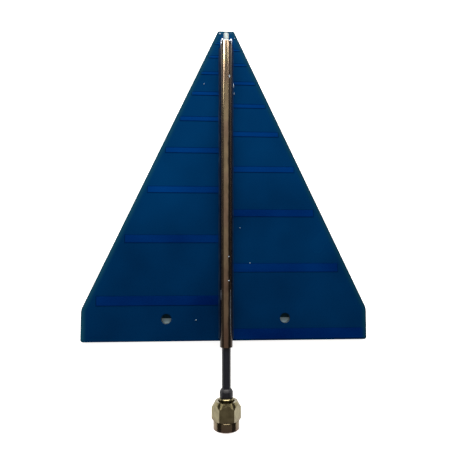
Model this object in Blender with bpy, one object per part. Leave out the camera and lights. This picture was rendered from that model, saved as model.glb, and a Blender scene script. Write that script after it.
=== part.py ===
"""Log periodic antenna.

A thin printed board carries rows of dipole strips, half of them on each face. A copper tube soldered
along its middle holds a thin coaxial cable, whose centre wire crosses to the back foil at the narrow tip.
The cable leaves the wide end in a short black sleeve and ends in a gold-plated threaded plug.

Metres, +Z up. The antenna lies on its back as it would on a bench: it rests on a flat of the coupling nut
and on the solder joint under the tip, with the tube on top and the tip towards +Y. The origin is on the
bench, under the middle of the part.
"""

import math

import bmesh
import bpy
from mathutils import Matrix, Vector

# Board
BOARD_WIDTH = 0.0920
BOARD_LENGTH = 0.1024
BOARD_THICKNESS = 0.0016
SIDE_LENGTH = 0.0102
TIP_WIDTH = 0.0053
SHOULDER_RADIUS = 0.0040
CORNER_RADIUS = 0.0008
TIP_RADIUS = 0.0004
MOUNT_HOLE_DIAMETER = 0.0032
MOUNT_HOLE_SPACING = 0.0383
MOUNT_HOLE_HEIGHT = 0.0071

# Foil strips: the second strip from the wide end sets the pattern, and each next one follows by a ratio
FOIL_THICKNESS = 0.000035
FOIL_MARGIN = 0.0003
SECOND_STRIP_HEIGHT = 0.01295
SECOND_STRIP_PITCH = 0.01045
PITCH_RATIO = 0.900
FIRST_STRIP_WIDTH = 0.0037
WIDTH_RATIO = 0.922
STRIP_WIDE_INSET = 0.0033
STRIP_TIP_INSET = 0.0005
LEAST_STRIP_GAP = 0.0004
BOOM_WIDTH = 0.0048

# Feed tube and solder
TUBE_DIAMETER = 0.0040
TUBE_WALL = 0.0005
TUBE_OVERHANG = 0.0015
TUBE_TIP_SETBACK = 0.0051
SOLDER_FILM = 0.00005
SEAM_SETBACK = 0.0008
SEAM_ANGLE = math.radians(64)
SEAM_TOE = 0.00045
SEAM_HOLLOW = 0.0003
SEAM_WAVE = 0.12
SEAM_WAVE_LENGTH = 0.0123
SEAM_SWELL_LENGTH = 0.0363
TIP_SOLDER_DEPTH = 0.0018
TIP_SOLDER_BULGE = 0.0008
TIP_SOLDER_RIM = 0.00025
BACK_SOLDER_DIAMETER = 0.0020
BACK_SOLDER_HEIGHT = 0.00018
BACK_SOLDER_EDGE = 0.0002

# Cable
CORE_DIAMETER = 0.0005
DIELECTRIC_DIAMETER = 0.0017
BRAID_THICKNESS = 0.00013
JACKET_DIAMETER = 0.0028
JACKET_TIP_STRIP = 0.0028
BRAID_TIP_STRIP = 0.0003
DIP_RADIUS = 0.0050
DIP_ANGLE = math.radians(18)
DIP_RUN = 0.0020
CORE_BEND_RADIUS = 0.0005
CORE_HOLE_DIAMETER = 0.0009
CORE_CLEAR_DIAMETER = 0.0020

# Plug
SLEEVE_EXPOSED = 0.0128
BOOT_EXPOSED = 0.0037
BOOT_DIAMETER = 0.0042
BOOT_SHOULDER = 0.0009
NUT_ACROSS_FLATS = 0.0080
NUT_LENGTH = 0.0087
NUT_REAR_DIAMETER = 0.0070
NUT_NECK_DIAMETER = 0.0078
NUT_LIP_DIAMETER = 0.0082
NUT_LIP_LENGTH = 0.0028
NUT_LIP_EDGE = 0.0003
NUT_CHAMFER = math.radians(30)
NUT_REAR_BORE_LENGTH = 0.0030
THREAD_BORE = 0.0058
THREAD_MOUTH = 0.0066
BARREL_DIAMETER = 0.0047
BARREL_PROUD = 0.0008
FLANGE_LENGTH = 0.0009
SOCKET_DIAMETER = 0.00458
SOCKET_WALL = 0.00022
SOCKET_INSET = 0.0024
INSULATOR_LENGTH = 0.0034
TAIL_LENGTH = 0.0013
TAIL_WALL = 0.00015
FERRULE_WALL = 0.00029
FERRULE_LENGTH = 0.0015
RING_WIRE = 0.00056
RING_INSET = 0.0019
RING_SPLIT = math.radians(30)
PIN_DIAMETER = 0.00092
PIN_SHANK_DIAMETER = 0.0013
PIN_SHANK_LENGTH = 0.0012
PIN_REACH = 0.0019
PIN_POINT = 0.0005
PIN_POINT_DIAMETER = 0.0004

# Clearances
LAYER_GAP = 0.00002
FIT_GAP = 0.00005
RUNNING_GAP = 0.0001
SLIDE_GAP = 0.0003

# Smoothness
ROUND_SIDES = 32
WIRE_SIDES = 16
NUT_SIDES = 48
ARC_STEPS = 6
SEAM_STATIONS = 60

# Levels from the boom's axis, the bench being the lower of the nut's flat and the solder under the tip
FRONT_FOIL_TOP = -(TUBE_DIAMETER / 2 + SOLDER_FILM + 2 * LAYER_GAP)
BOARD_TOP = FRONT_FOIL_TOP - FOIL_THICKNESS - LAYER_GAP
BOARD_BOTTOM = BOARD_TOP - BOARD_THICKNESS
BACK_FOIL_TOP = BOARD_BOTTOM - LAYER_GAP
BACK_FOIL_BOTTOM = BACK_FOIL_TOP - FOIL_THICKNESS
BACK_SOLDER_TOP = BACK_FOIL_BOTTOM - LAYER_GAP
BACK_SOLDER_BOTTOM = BACK_SOLDER_TOP - BACK_SOLDER_HEIGHT
BENCH = min(-NUT_ACROSS_FLATS / 2, -NUT_LIP_DIAMETER / 2, BACK_SOLDER_BOTTOM)

# Stations along the boom, measured from the board's wide end, the tip being positive
TUBE_END = BOARD_LENGTH - TUBE_TIP_SETBACK
TUBE_START = -TUBE_OVERHANG
BOOT_START = TUBE_START - SLEEVE_EXPOSED
NUT_REAR = BOOT_START - BOOT_EXPOSED
NUT_FRONT = NUT_REAR - NUT_LENGTH
BARREL_REAR = NUT_REAR + BARREL_PROUD
NUT_SHOULDER = NUT_REAR - NUT_REAR_BORE_LENGTH
FLANGE_REAR = NUT_SHOULDER - SLIDE_GAP
FLANGE_FRONT = FLANGE_REAR - FLANGE_LENGTH
SOCKET_FRONT = NUT_FRONT + SOCKET_INSET
INSULATOR_REAR = SOCKET_FRONT + INSULATOR_LENGTH
RING_STATION = NUT_REAR - RING_INSET
TAIL_REAR = BARREL_REAR + TAIL_LENGTH
FERRULE_REAR = BARREL_REAR + FIT_GAP + FERRULE_LENGTH
JACKET_END = max(TAIL_REAR, FERRULE_REAR) + SLIDE_GAP
PIN_REAR = INSULATOR_REAR - FIT_GAP
PIN_TIP = SOCKET_FRONT - PIN_REACH
MIDDLE = (BOARD_LENGTH + NUT_FRONT) / 2

# Radii of the cable's layers and of what goes round them
CORE_R = CORE_DIAMETER / 2
DIELECTRIC_R = DIELECTRIC_DIAMETER / 2
BRAID_IN_R = DIELECTRIC_R + FIT_GAP
BRAID_R = BRAID_IN_R + BRAID_THICKNESS
JACKET_R = JACKET_DIAMETER / 2
TUBE_R = TUBE_DIAMETER / 2
TUBE_BORE_R = TUBE_R - TUBE_WALL
TAIL_R = BRAID_IN_R + TAIL_WALL
FLARE_IN_R = TAIL_R + FIT_GAP
FLARE_R = FLARE_IN_R + BRAID_THICKNESS
FERRULE_IN_R = FLARE_R + FIT_GAP
FERRULE_R = FERRULE_IN_R + FERRULE_WALL
BOOT_R = BOOT_DIAMETER / 2
BARREL_R = BARREL_DIAMETER / 2
NUT_REAR_BORE_R = BARREL_R + SLIDE_GAP
THREAD_R = THREAD_BORE / 2
SOCKET_R = SOCKET_DIAMETER / 2
SOCKET_BORE_R = SOCKET_R - SOCKET_WALL
RING_R = (BARREL_R + NUT_REAR_BORE_R) / 2
WIRE_R = RING_WIRE / 2
PIN_R = PIN_DIAMETER / 2
SHANK_R = PIN_SHANK_DIAMETER / 2
PIN_POINT_R = PIN_POINT_DIAMETER / 2


def clear_scene():
    for item in list(bpy.data.objects):
        bpy.data.objects.remove(item, do_unlink=True)


def linear(channel):
    if channel <= 0.04045:
        return channel / 12.92
    return ((channel + 0.055) / 1.055) ** 2.4


def finish(name, colour, roughness, metallic=0.0):
    """A Principled material from an sRGB hex colour."""
    material = bpy.data.materials.new(name)
    material.use_nodes = True
    shader = material.node_tree.nodes["Principled BSDF"]
    red, green, blue = (linear(int(colour[i:i + 2], 16) / 255) for i in (0, 2, 4))
    shader.inputs["Base Color"].default_value = (red, green, blue, 1.0)
    shader.inputs["Roughness"].default_value = roughness
    shader.inputs["Metallic"].default_value = metallic
    return material


def make_finishes():
    return {
        "mask": finish("blue_solder_mask", "052E57", 0.35),
        "foil": finish("masked_copper_foil", "06266B", 0.30),
        "copper": finish("bare_copper_tube", "A8805F", 0.38, 1.0),
        "solder": finish("tin_solder", "A9ADB0", 0.32, 1.0),
        "silver": finish("silvered_copper_wire", "C3C4C2", 0.30, 1.0),
        "jacket": finish("black_cable_jacket", "17181B", 0.45),
        "boot": finish("black_shrink_sleeve", "1D1D22", 0.55),
        "white": finish("white_fluoropolymer", "DDE4E6", 0.40),
        "gold": finish("gold_plated_brass", "C4A65A", 0.25, 1.0),
        "spring": finish("bronze_spring_wire", "B08B4F", 0.35, 1.0),
    }


def add_piece(name, bm, material, parent, smooth=True):
    """Turn a bmesh into a named piece under its carrier."""
    bmesh.ops.recalc_face_normals(bm, faces=bm.faces)
    mesh = bpy.data.meshes.new(name)
    bm.to_mesh(mesh)
    bm.free()
    if smooth:
        mesh.shade_smooth()
        mesh.set_sharp_from_angle(angle=math.radians(35))
    piece = bpy.data.objects.new(name, mesh)
    bpy.context.collection.objects.link(piece)
    piece.parent = parent
    if material:
        mesh.materials.append(material)
    return piece


def add_carrier(name, location):
    carrier = bpy.data.objects.new(name, None)
    carrier.location = location
    bpy.context.collection.objects.link(carrier)
    return carrier


def cut(piece, cutter, operation="DIFFERENCE"):
    """Shape a piece by a hidden tool body."""
    cutter.hide_render = True
    cutter.display_type = "WIRE"
    modifier = piece.modifiers.new(cutter.name, "BOOLEAN")
    modifier.operation = operation
    modifier.solver = "EXACT"
    modifier.object = cutter


def rounded_outline(corners):
    """Replace each (x, y, radius) corner of a convex outline, listed anticlockwise, by an arc."""
    points = []
    for index, (x, y, radius) in enumerate(corners):
        here = Vector((x, y))
        before = (Vector(corners[index - 1][:2]) - here).normalized()
        after = (Vector(corners[(index + 1) % len(corners)][:2]) - here).normalized()
        half = before.angle(after) / 2
        centre = here + (before + after).normalized() * (radius / math.sin(half))
        first = here + before * (radius / math.tan(half)) - centre
        turn = math.pi - 2 * half
        for step in range(ARC_STEPS + 1):
            points.append(centre + Matrix.Rotation(turn * step / ARC_STEPS, 2) @ first)
    return [(point.x, point.y) for point in points]


def plate(name, outline, bottom, top, material, parent):
    """Extrude a flat outline from one level to another."""
    bm = bmesh.new()
    face = bm.faces.new([bm.verts.new((x, y, bottom)) for x, y in outline])
    lifted = bmesh.ops.extrude_face_region(bm, geom=[face])["geom"]
    moved = [item for item in lifted if isinstance(item, bmesh.types.BMVert)]
    bmesh.ops.translate(bm, verts=moved, vec=(0, 0, top - bottom))
    return add_piece(name, bm, material, parent, smooth=False)


def turned(name, profile, material, parent, sides=ROUND_SIDES, sweep=2 * math.pi):
    """Spin a closed outline of (radius, station) points about the boom's axis."""
    bm = bmesh.new()
    ring = [bm.verts.new((radius, station, 0)) for radius, station in profile]
    edges = []
    for index, (radius, _) in enumerate(profile):
        if radius > 0 or profile[index - 1][0] > 0:
            edges.append(bm.edges.new((ring[index - 1], ring[index])))
    whole = sweep == 2 * math.pi
    bmesh.ops.spin(bm, geom=ring + edges, cent=(0, 0, 0), axis=(0, 1, 0), angle=sweep, steps=sides,
                   use_merge=whole)
    if whole:
        bmesh.ops.remove_doubles(bm, verts=bm.verts, dist=1e-7)
    else:
        bmesh.ops.holes_fill(bm, edges=[edge for edge in bm.edges if edge.is_boundary], sides=len(ring))
    return add_piece(name, bm, material, parent)


def pillar(name, outline, centre, material, parent, sides=WIRE_SIDES):
    """Spin a closed outline of (radius, height) points about an upright line through centre."""
    piece = turned(name, outline, material, parent, sides)
    piece.rotation_euler = (math.pi / 2, 0, 0)
    piece.location = (centre[0], centre[1], 0)
    return piece


def drill(name, centre, diameter, parent):
    """An upright drill long enough for the board and both foils."""
    reach = BOARD_THICKNESS
    outline = [(0, BOARD_BOTTOM - reach), (diameter / 2, BOARD_BOTTOM - reach),
               (diameter / 2, BOARD_TOP + reach), (0, BOARD_TOP + reach)]
    return pillar(name, outline, centre, None, parent, ROUND_SIDES)


def wire(name, line, outer, inner, material, parent):
    """Sweep a round section, solid or bored, along (y, z, downward angle) points."""
    bm = bmesh.new()
    walls = []
    for radius in (outer, inner):
        rings = []
        for y, z, angle in line:
            up = Vector((0, math.sin(angle), math.cos(angle)))
            turns = [2 * math.pi * side / WIRE_SIDES for side in range(WIRE_SIDES)]
            rings.append([bm.verts.new(Vector((0, y, z)) + radius * (Vector((math.cos(turn), 0, 0))
                          + up * math.sin(turn))) for turn in turns] if radius else [])
        walls.append(rings)
        for first, second in zip(rings, rings[1:]):
            for side in range(len(first)):
                bm.faces.new((first[side - 1], first[side], second[side], second[side - 1]))
    for end in (0, -1):
        rim, bore = walls[0][end], walls[1][end]
        if not bore:
            bm.faces.new(rim)
        for side in range(len(bore)):
            bm.faces.new((rim[side - 1], rim[side], bore[side], bore[side - 1]))
    return add_piece(name, bm, material, parent)


def cable_line(start, with_core_bend):
    """Centre line from a station in the plug to the dipped end of the dielectric, or on down to the back."""
    line = [(start, 0.0, 0.0)]
    for step in range(ARC_STEPS + 1):
        angle = DIP_ANGLE * step / ARC_STEPS
        line.append((TUBE_END + DIP_RADIUS * math.sin(angle), DIP_RADIUS * (math.cos(angle) - 1), angle))
    y, z, _ = line[-1]
    y += DIP_RUN * math.cos(DIP_ANGLE)
    z -= DIP_RUN * math.sin(DIP_ANGLE)
    line.append((y, z, DIP_ANGLE))
    if with_core_bend:
        for step in range(1, ARC_STEPS + 1):
            angle = DIP_ANGLE + (math.pi / 2 - DIP_ANGLE) * step / ARC_STEPS
            line.append((y + CORE_BEND_RADIUS * (math.sin(angle) - math.sin(DIP_ANGLE)),
                         z - CORE_BEND_RADIUS * (math.cos(DIP_ANGLE) - math.cos(angle)), angle))
        line.append((line[-1][0], BACK_SOLDER_BOTTOM + LAYER_GAP, math.pi / 2))
    return line


def core_station():
    return cable_line(NUT_REAR, True)[-1][0]


def make_board(materials, carrier):
    half = BOARD_WIDTH / 2
    tip = TIP_WIDTH / 2
    outline = rounded_outline([
        (half, 0, CORNER_RADIUS), (half, SIDE_LENGTH, SHOULDER_RADIUS), (tip, BOARD_LENGTH, TIP_RADIUS),
        (-tip, BOARD_LENGTH, TIP_RADIUS), (-half, SIDE_LENGTH, SHOULDER_RADIUS), (-half, 0, CORNER_RADIUS)])
    board = plate("board_laminate", outline, BOARD_BOTTOM, BOARD_TOP, materials["mask"], carrier)
    for name, side in (("left_hole_drill", -1), ("right_hole_drill", 1)):
        place = (side * MOUNT_HOLE_SPACING / 2, MOUNT_HOLE_HEIGHT)
        cut(board, drill(name, place, MOUNT_HOLE_DIAMETER, carrier))
    cut(board, drill("core_hole_drill", (0, core_station()), CORE_HOLE_DIAMETER, carrier))


def strip(index):
    """Lower edge, upper edge and reach from the middle of one strip, counted from the wide end."""
    width = FIRST_STRIP_WIDTH * WIDTH_RATIO ** index
    rows = (1 - PITCH_RATIO ** (index - 1)) / (1 - PITCH_RATIO)
    centre = max(SECOND_STRIP_HEIGHT + SECOND_STRIP_PITCH * rows, FOIL_MARGIN + width / 2)
    share = (BOARD_LENGTH - centre) / (BOARD_LENGTH - SIDE_LENGTH)
    sloping_edge = (TIP_WIDTH + (BOARD_WIDTH - TIP_WIDTH) * share) / 2
    inset = STRIP_TIP_INSET + (STRIP_WIDE_INSET - STRIP_TIP_INSET) * share
    reach = min(sloping_edge - inset, BOARD_WIDTH / 2 - FOIL_MARGIN)
    return centre - width / 2, centre + width / 2, reach


def all_strips():
    """The strips from the wide end up to the last that clears the centre wire's hole."""
    strips = [strip(0)]
    low, high, reach = strip(1)
    while high < core_station() and reach > BOOM_WIDTH / 2 and low > strips[-1][1] + LEAST_STRIP_GAP:
        strips.append((low, high, reach))
        low, high, reach = strip(len(strips))
    return strips


def foil_outline(side):
    """A boom with strips on alternate sides, the widest one pointing to the given side."""
    half = BOOM_WIDTH / 2
    strips = all_strips()
    right, left = [], [(-half, strips[0][0])]
    for index, (low, high, reach) in enumerate(strips):
        sign = -1 if index % 2 else 1
        corners = [(sign * half, low), (sign * reach, low), (sign * reach, high), (sign * half, high)]
        if index % 2:
            left += corners
        else:
            right += corners if index else corners[1:]
    crown = core_station() + CORE_HOLE_DIAMETER
    points = right + [(half, crown), (-half, crown)] + left[::-1]
    return [(side * x, y) for x, y in points]


def make_foils(materials, carrier):
    front = plate("front_element_foil", foil_outline(1), BOARD_TOP + LAYER_GAP, FRONT_FOIL_TOP,
                  materials["foil"], carrier)
    cut(front, drill("front_foil_drill", (0, core_station()), CORE_CLEAR_DIAMETER, carrier))
    back = plate("back_element_foil", foil_outline(-1), BACK_FOIL_BOTTOM, BACK_FOIL_TOP,
                 materials["foil"], carrier)
    cut(back, drill("back_foil_drill", (0, core_station()), CORE_HOLE_DIAMETER, carrier))


def seam_section(station):
    """Section of the solder under the tube: a thin film between two hollow fillets, a little uneven."""
    inner = TUBE_R + LAYER_GAP
    floor = FRONT_FOIL_TOP + LAYER_GAP
    section = []
    for side in (1, -1):
        ripple = math.sin(math.tau * station / SEAM_WAVE_LENGTH + side)
        swell = math.sin(math.tau * station / SEAM_SWELL_LENGTH + 2 * side)
        wave = 1 + SEAM_WAVE * ripple * swell
        angle = SEAM_ANGLE * wave
        top = Vector((side * inner * math.sin(angle), -inner * math.cos(angle)))
        toe = Vector((side * (TUBE_R + SEAM_TOE * wave), floor))
        crook = Vector((side * TUBE_R, floor + SEAM_HOLLOW))
        fillet = []
        for step in range(ARC_STEPS + 1):
            share = step / ARC_STEPS
            fillet.append(toe * (1 - share) ** 2 + crook * 2 * share * (1 - share) + top * share ** 2)
        arc = []
        for step in range(1, ARC_STEPS + 1):
            turn = angle * (1 - step / ARC_STEPS)
            arc.append(Vector((side * inner * math.sin(turn), -inner * math.cos(turn))))
        run = fillet + arc
        section += run if side == 1 else run[-2::-1]
    return section


def make_seam(materials, carrier):
    bm = bmesh.new()
    first = SEAM_SETBACK
    last = TUBE_END - SEAM_SETBACK
    rings = []
    for index in range(SEAM_STATIONS + 1):
        station = first + (last - first) * index / SEAM_STATIONS
        rings.append([bm.verts.new((point.x, station, point.y)) for point in seam_section(station)])
    for before, after in zip(rings, rings[1:]):
        for side in range(len(before)):
            bm.faces.new((before[side - 1], before[side], after[side], after[side - 1]))
    bm.faces.new(rings[0])
    bm.faces.new(rings[-1])
    bmesh.ops.triangulate(bm, faces=[face for face in bm.faces if len(face.verts) > 4])
    add_piece("tube_solder_seam", bm, materials["solder"], carrier)


def ring_section(outer, inner, start, end):
    return [(outer, start), (outer, end), (inner, end), (inner, start)]


def make_tube(materials, carrier):
    turned("feed_tube", ring_section(TUBE_R, TUBE_BORE_R, TUBE_START, TUBE_END), materials["copper"], carrier)
    inner = BRAID_R + FIT_GAP
    outer = TUBE_BORE_R - FIT_GAP
    rim = TUBE_R - FIT_GAP
    face = TUBE_END + LAYER_GAP
    section = [(inner, face - TIP_SOLDER_DEPTH), (outer, face - TIP_SOLDER_DEPTH), (outer, face), (rim, face)]
    for step in range(ARC_STEPS + 1):
        turn = math.pi / 2 * step / ARC_STEPS
        section.append((inner + (rim - inner) * math.cos(turn),
                        face + TIP_SOLDER_RIM + (TIP_SOLDER_BULGE - TIP_SOLDER_RIM) * math.sin(turn)))
    turned("tip_shield_solder", section, materials["solder"], carrier)


def make_cable(materials, carrier):
    wire("coax_dielectric", cable_line(INSULATOR_REAR + SLIDE_GAP, False), DIELECTRIC_R, CORE_R + FIT_GAP,
         materials["white"], carrier)
    wire("coax_centre_wire", cable_line(PIN_REAR - PIN_SHANK_LENGTH + SLIDE_GAP, True), CORE_R, 0,
         materials["silver"], carrier)
    flare_start = JACKET_END - FIT_GAP
    flare_end = TAIL_REAR + FIT_GAP
    braid_end = TUBE_END - BRAID_TIP_STRIP
    tail_stop = BARREL_REAR + FIT_GAP
    turned("coax_braid", [
        (FLARE_R, tail_stop), (FLARE_R, flare_end), (BRAID_R, flare_start), (BRAID_R, braid_end),
        (BRAID_IN_R, braid_end), (BRAID_IN_R, flare_start), (FLARE_IN_R, flare_end),
        (FLARE_IN_R, tail_stop)], materials["silver"], carrier)
    jacket_tip = TUBE_END - JACKET_TIP_STRIP
    turned("coax_jacket", ring_section(JACKET_R, BRAID_R + FIT_GAP, JACKET_END, jacket_tip),
           materials["jacket"], carrier)


def make_boot(materials, carrier):
    end = BARREL_REAR + 2 * FIT_GAP
    neck = JACKET_R + FIT_GAP
    room = FERRULE_R + FIT_GAP
    wall = BOOT_R - room
    inner_step = FERRULE_REAR + FIT_GAP
    shoulder = BOOT_START - BOOT_SHOULDER
    turned("crimp_boot", [
        (BOOT_R, end), (BOOT_R, shoulder), (neck + wall, BOOT_START), (neck, BOOT_START),
        (neck, min(shoulder, inner_step + 2 * FIT_GAP)), (room, inner_step), (room, end)],
        materials["boot"], carrier)
    turned("crimp_ferrule", ring_section(FERRULE_R, FERRULE_IN_R, BARREL_REAR + FIT_GAP, FERRULE_REAR),
           materials["gold"], carrier)


def make_plug_body(materials, carrier):
    groove = RING_R - WIRE_R - RUNNING_GAP
    near = RING_STATION + WIRE_R + RUNNING_GAP
    far = RING_STATION - WIRE_R - RUNNING_GAP
    flange = THREAD_R - SLIDE_GAP
    turned("plug_body", [
        (BRAID_IN_R, TAIL_REAR), (TAIL_R, TAIL_REAR), (TAIL_R, BARREL_REAR), (BARREL_R, BARREL_REAR),
        (BARREL_R, near), (groove, near), (groove, far), (BARREL_R, far), (BARREL_R, FLANGE_REAR),
        (flange, FLANGE_REAR), (flange, FLANGE_FRONT), (SOCKET_R, FLANGE_FRONT), (SOCKET_R, SOCKET_FRONT),
        (SOCKET_BORE_R, SOCKET_FRONT), (SOCKET_BORE_R, INSULATOR_REAR + FIT_GAP),
        (BRAID_IN_R, INSULATOR_REAR + FIT_GAP)], materials["gold"], carrier)


def make_plug_insides(materials, carrier):
    shank_end = PIN_REAR - PIN_SHANK_LENGTH
    outer = SOCKET_BORE_R - FIT_GAP
    bore = PIN_R + FIT_GAP
    room = SHANK_R + FIT_GAP
    face = SOCKET_FRONT + FIT_GAP
    turned("plug_insulator", [
        (outer, INSULATOR_REAR), (outer, face), (bore, face), (bore, shank_end - FIT_GAP),
        (room, shank_end - FIT_GAP), (room, INSULATOR_REAR)], materials["white"], carrier)
    turned("centre_pin", [
        (0, PIN_TIP), (PIN_POINT_R, PIN_TIP), (PIN_R, PIN_TIP + PIN_POINT), (PIN_R, shank_end),
        (SHANK_R, shank_end), (SHANK_R, PIN_REAR), (CORE_R + FIT_GAP, PIN_REAR),
        (CORE_R + FIT_GAP, shank_end + FIT_GAP), (0, shank_end + FIT_GAP)], materials["gold"], carrier,
        WIRE_SIDES)


def make_ring(materials, carrier):
    section = []
    for step in range(WIRE_SIDES // 2):
        turn = 4 * math.pi * step / WIRE_SIDES
        section.append((RING_R + WIRE_R * math.cos(turn), RING_STATION + WIRE_R * math.sin(turn)))
    turned("retaining_ring", section, materials["spring"], carrier, ROUND_SIDES, 2 * math.pi - RING_SPLIT)


def make_nut(materials, hinge):
    """A hexagonal bar, turned to its chamfers, with a round lip, then bored for the barrel, ring and thread.

    Its stations run from its rear face, where the hinge stands.
    """
    corner_r = NUT_ACROSS_FLATS / math.sqrt(3)
    bm = bmesh.new()
    bar = [bm.verts.new((corner_r * math.cos(math.pi * side / 3), -NUT_LENGTH,
                         corner_r * math.sin(math.pi * side / 3))) for side in range(6)]
    lifted = bmesh.ops.extrude_face_region(bm, geom=[bm.faces.new(bar)])["geom"]
    moved = [item for item in lifted if isinstance(item, bmesh.types.BMVert)]
    bmesh.ops.translate(bm, verts=moved, vec=(0, NUT_LENGTH, 0))
    nut = add_piece("coupling_nut", bm, materials["gold"], hinge)

    stock = corner_r + SLIDE_GAP
    rear_r = NUT_REAR_DIAMETER / 2
    neck_r = NUT_NECK_DIAMETER / 2
    lip_r = NUT_LIP_DIAMETER / 2
    lip_start = NUT_LIP_LENGTH - NUT_LENGTH
    lip_rim = NUT_LIP_EDGE - NUT_LENGTH
    rear_run = (stock - rear_r) / math.tan(NUT_CHAMFER)
    neck_run = (stock - neck_r) * math.tan(NUT_CHAMFER)
    cut(nut, turned("nut_turning", [
        (0, lip_rim), (neck_r, lip_rim), (neck_r, lip_start), (stock, lip_start + neck_run),
        (stock, -rear_run), (rear_r, 0), (0, 0)], None, hinge, NUT_SIDES), "INTERSECT")
    cut(nut, turned("nut_lip", [
        (0, -NUT_LENGTH), (lip_r - NUT_LIP_EDGE, -NUT_LENGTH), (lip_r, lip_rim),
        (lip_r, lip_start + FIT_GAP), (0, lip_start + FIT_GAP)], None, hinge, NUT_SIDES), "UNION")

    groove = RING_R + WIRE_R + RUNNING_GAP
    near = WIRE_R + RUNNING_GAP - RING_INSET
    far = -WIRE_R - RUNNING_GAP - RING_INSET
    mouth = THREAD_MOUTH / 2
    over = SLIDE_GAP
    cut(nut, turned("nut_boring", [
        (0, -NUT_LENGTH - over), (mouth, -NUT_LENGTH - over), (mouth, -NUT_LENGTH),
        (THREAD_R, mouth - THREAD_R - NUT_LENGTH), (THREAD_R, -NUT_REAR_BORE_LENGTH),
        (NUT_REAR_BORE_R, -NUT_REAR_BORE_LENGTH), (NUT_REAR_BORE_R, far), (groove, far), (groove, near),
        (NUT_REAR_BORE_R, near), (NUT_REAR_BORE_R, over), (0, over)], None, hinge, NUT_SIDES))


def make_back_solder(materials, carrier):
    radius = BACK_SOLDER_DIAMETER / 2
    bore = CORE_R + FIT_GAP
    pillar("back_tip_solder", [
        (bore, BACK_SOLDER_TOP), (bore, BACK_SOLDER_BOTTOM), (radius - BACK_SOLDER_EDGE, BACK_SOLDER_BOTTOM),
        (radius, BACK_SOLDER_TOP - BACK_SOLDER_HEIGHT / 2), (radius, BACK_SOLDER_TOP)],
        (0, core_station()), materials["solder"], carrier, ROUND_SIDES)


def main():
    clear_scene()
    materials = make_finishes()
    carrier = add_carrier("boom_axis", (0, -MIDDLE, -BENCH))
    hinge = add_carrier("nut_hinge", (0, NUT_REAR, 0))
    hinge.parent = carrier
    make_board(materials, carrier)
    make_foils(materials, carrier)
    make_tube(materials, carrier)
    make_seam(materials, carrier)
    make_back_solder(materials, carrier)
    make_cable(materials, carrier)
    make_boot(materials, carrier)
    make_plug_body(materials, carrier)
    make_plug_insides(materials, carrier)
    make_ring(materials, carrier)
    make_nut(materials, hinge)


main()
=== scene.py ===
"""Looks of the log periodic antenna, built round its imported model. Metres, +Y towards the narrow tip."""

import math

import bmesh
import bpy
from mathutils import Matrix, Vector


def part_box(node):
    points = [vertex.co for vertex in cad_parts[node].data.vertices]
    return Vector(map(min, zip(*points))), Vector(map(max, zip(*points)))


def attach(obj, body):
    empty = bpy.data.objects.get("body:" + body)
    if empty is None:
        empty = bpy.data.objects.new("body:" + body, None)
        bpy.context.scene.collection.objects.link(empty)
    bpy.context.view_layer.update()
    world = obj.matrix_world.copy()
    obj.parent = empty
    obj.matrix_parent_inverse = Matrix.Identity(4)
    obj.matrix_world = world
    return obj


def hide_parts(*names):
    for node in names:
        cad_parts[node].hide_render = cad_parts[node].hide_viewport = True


MM = 0.001
BODY = "antenna_body"
NUT_BODY = "nut_body"

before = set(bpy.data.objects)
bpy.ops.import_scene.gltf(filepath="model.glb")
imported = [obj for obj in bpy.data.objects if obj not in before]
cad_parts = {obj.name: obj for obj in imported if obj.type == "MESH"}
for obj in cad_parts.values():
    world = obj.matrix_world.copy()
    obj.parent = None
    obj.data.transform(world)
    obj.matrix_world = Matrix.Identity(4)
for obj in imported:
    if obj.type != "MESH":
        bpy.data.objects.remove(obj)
bpy.ops.object.select_all(action="DESELECT")
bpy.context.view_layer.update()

# Places taken from the model
BOARD_LOW, BOARD_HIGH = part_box("board_laminate")
TUBE_LOW, TUBE_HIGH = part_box("feed_tube")
NUT_LOW, NUT_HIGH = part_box("coupling_nut")
JACKET_LOW, JACKET_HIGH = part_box("coax_jacket")
BOOT_LOW, BOOT_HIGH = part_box("crimp_boot")
PLUG_LOW, PLUG_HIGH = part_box("plug_body")
INSULATOR_LOW, INSULATOR_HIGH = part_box("plug_insulator")
PIN_LOW, PIN_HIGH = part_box("centre_pin")
DIELECTRIC_LOW, DIELECTRIC_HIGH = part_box("coax_dielectric")
DROP_LOW, DROP_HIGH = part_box("back_tip_solder")
FRONT_FOIL_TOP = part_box("front_element_foil")[1].z
BACK_FOIL_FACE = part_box("back_element_foil")[0].z
WIDE_END = BOARD_LOW.y
TIP_END = BOARD_HIGH.y
BOARD_HALF = BOARD_HIGH.x
BOARD_TOP = BOARD_HIGH.z
BOARD_BOTTOM = BOARD_LOW.z
AXIS = (TUBE_LOW.z + TUBE_HIGH.z) / 2
TUBE_R = (TUBE_HIGH.x - TUBE_LOW.x) / 2
CORE_Y = (DROP_LOW.y + DROP_HIGH.y) / 2

# Board
BOARD_LENGTH = TIP_END - WIDE_END
SIDE_LENGTH = 10.2 * MM
TIP_WIDTH = 5.3 * MM
SHOULDER_Y = WIDE_END + SIDE_LENGTH
SLOPE_RUN = BOARD_HALF - TIP_WIDTH / 2
SLOPE_RISE = BOARD_LENGTH - SIDE_LENGTH
CORNER_RADIUS = 0.8 * MM
SHOULDER_RADIUS = 4.0 * MM
TIP_RADIUS = 0.4 * MM
HOLE_SPACING = 38.3 * MM
HOLE_HEIGHT = 7.1 * MM
HOLE_DIAMETER = 3.2 * MM
HOLES = [(side * HOLE_SPACING / 2, WIDE_END + HOLE_HEIGHT) for side in (-1, 1)]
CORE_HOLE = 0.9 * MM
ROUTED_EDGE = 0.18 * MM
RIM_BAND = 2.0 * MM

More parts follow.
